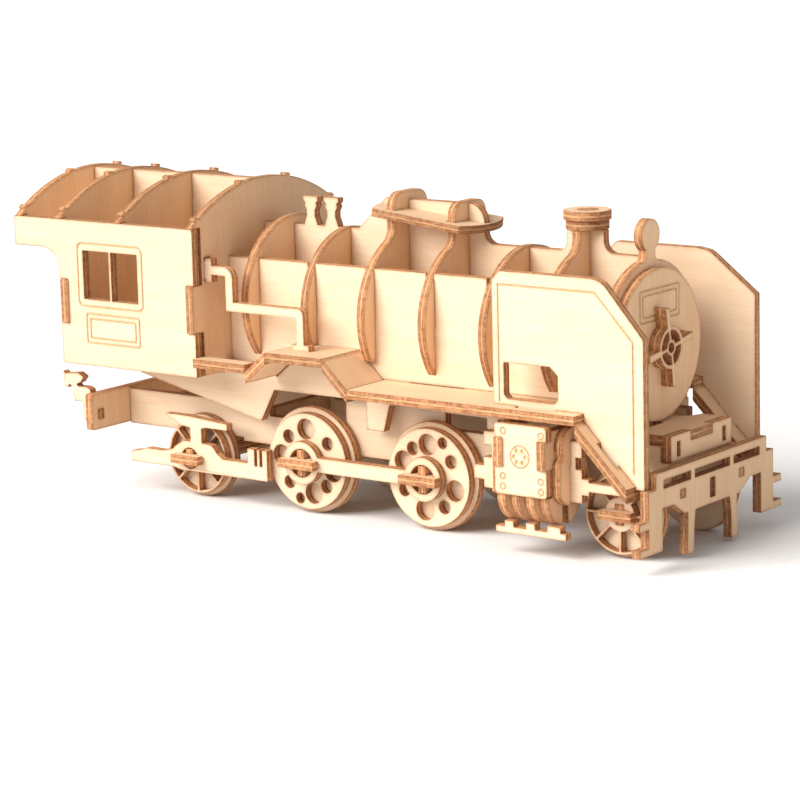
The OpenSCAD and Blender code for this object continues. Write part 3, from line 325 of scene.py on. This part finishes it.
def laser_edge():
    """A cut edge: three plies seen end on, the core lighter and broken up, glue lines and rims charred."""
    t = Tree("laser_edge")
    place = t.attribute("sheet_place", "Vector")
    tone = t.attribute("sheet_tone", "Fac")
    through = t.add("ShaderNodeSeparateXYZ", {"Vector": place}).outputs[2]
    strike = t.noise(t.stretch(place, (900, 900, 1.2)), 1.0, 2.0)
    mottle = t.noise(t.stretch(place, (260, 260, 7)), 1.0, 3.0)
    plies = t.ramp(through, [
        (0.00, BURNT_DARK), (0.05, BURNT_BROWN), (0.30, BURNT_BROWN), (0.36, BURNT_DARK),
        (0.40, BURNT_LIGHT), (0.60, BURNT_LIGHT), (0.64, BURNT_DARK), (0.70, BURNT_BROWN),
        (0.95, BURNT_BROWN), (1.00, BURNT_DARK)])
    plies = t.mix(t.math("MULTIPLY", t.span(strike, 0.35, 0.65), 0.55), plies, (*BURNT_LIGHT, 1))
    plies = t.mix(t.math("MULTIPLY", t.span(mottle, 0.45, 0.70), 0.55), plies, (*BURNT_DARK, 1))
    colour = t.scale(plies, tone, 0.85, 1.2)
    roughness = t.span(mottle, 0.3, 0.7, 0.55, 0.8)
    height = t.math("ADD", strike, t.math("MULTIPLY", mottle, 0.6))
    return t.finish(colour, roughness, height, 0.00015, 0.4, 0.25)


def pale_table():
    """The table under the model: matt white board with a barely visible tooth."""
    t = Tree("pale_table")
    position = t.add("ShaderNodeTexCoord").outputs["Object"]
    tooth = t.noise(position, 350.0, 3.0)
    colour = t.ramp(tooth, [(0.3, (0.84, 0.835, 0.84)), (0.7, (0.88, 0.875, 0.88))])
    return t.finish(colour, t.span(tooth, 0.3, 0.7, 0.8, 0.9), tooth, 0.0002, 0.15, 0.0)


# ---------------------------------------------------------------- the model

def dress(name, obj, materials, rng):
    """Gives one CAD node its plate coordinates, materials and the small break along its cut edges."""
    obj.data.materials.clear()
    for material in materials:
        obj.data.materials.append(material)
    lay_out(obj, rng)
    weld = obj.modifiers.new("weld", "WELD")
    weld.merge_threshold = SAME_POINT
    rim = obj.modifiers.new("rim", "BEVEL")
    rim.limit_method = "WEIGHT"
    rim.width = RIM_WIDTH
    rim.segments = 1
    rim.use_clamp_overlap = True
    rim.material = CUT_EDGE


def make_table():
    """A wide level board just under the rails."""
    bpy.ops.mesh.primitive_plane_add(size=TABLE_SIZE, location=(0, 0, cad_low[2]))
    table = bpy.context.object
    table.name = "table"
    table.data.materials.append(pale_table())


def make_light():
    """One very soft key from the near side, left of the camera, and an even white surround."""
    sun = bpy.data.lights.new("key", "SUN")
    sun.energy = SUN_POWER
    sun.angle = SUN_SOFTNESS
    sun.color = SUN_COLOUR
    key = bpy.data.objects.new("key", sun)
    key.rotation_mode = "QUATERNION"
    key.rotation_quaternion = SUN_DIRECTION.to_track_quat("Z", "Y")
    bpy.context.scene.collection.objects.link(key)
    world = bpy.data.worlds.new("surround")
    world.use_nodes = True
    background = world.node_tree.nodes["Background"]
    background.inputs["Color"].default_value = SKY_COLOUR
    background.inputs["Strength"].default_value = SKY_STRENGTH
    bpy.context.scene.world = world


def make_camera():
    """A long lens, seen from the front right corner and slightly above."""
    flat = math.cos(CAMERA_ELEVATION)
    back = Vector((math.sin(CAMERA_AZIMUTH) * flat, -math.cos(CAMERA_AZIMUTH) * flat,
                   math.sin(CAMERA_ELEVATION)))
    right = (-back).cross(Vector((0, 0, 1))).normalized()
    turn = Matrix.Rotation(-CAMERA_ROLL, 3, -back)
    right = turn @ right
    up = back.cross(right)
    data = bpy.data.cameras.new("camera")
    data.lens = CAMERA_LENS_MM
    data.sensor_width = 36
    data.clip_start, data.clip_end = 0.05, 2 * TABLE_SIZE
    camera = bpy.data.objects.new("camera", data)
    camera.matrix_world = Matrix.Translation(CAMERA_AIM + back * CAMERA_DISTANCE) @ Matrix(
        (right, up, back)).transposed().to_4x4()
    bpy.context.scene.collection.objects.link(camera)
    bpy.context.scene.camera = camera


sheet_materials = (birch_face(), laser_edge(), engraved_line())
random_source = np.random.default_rng(RANDOM_SEED)
for node_name in sorted(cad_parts):
    dress(node_name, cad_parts[node_name], sheet_materials, random_source)
make_table()
make_light()
make_camera()
bpy.context.scene.view_settings.view_transform = "Standard"
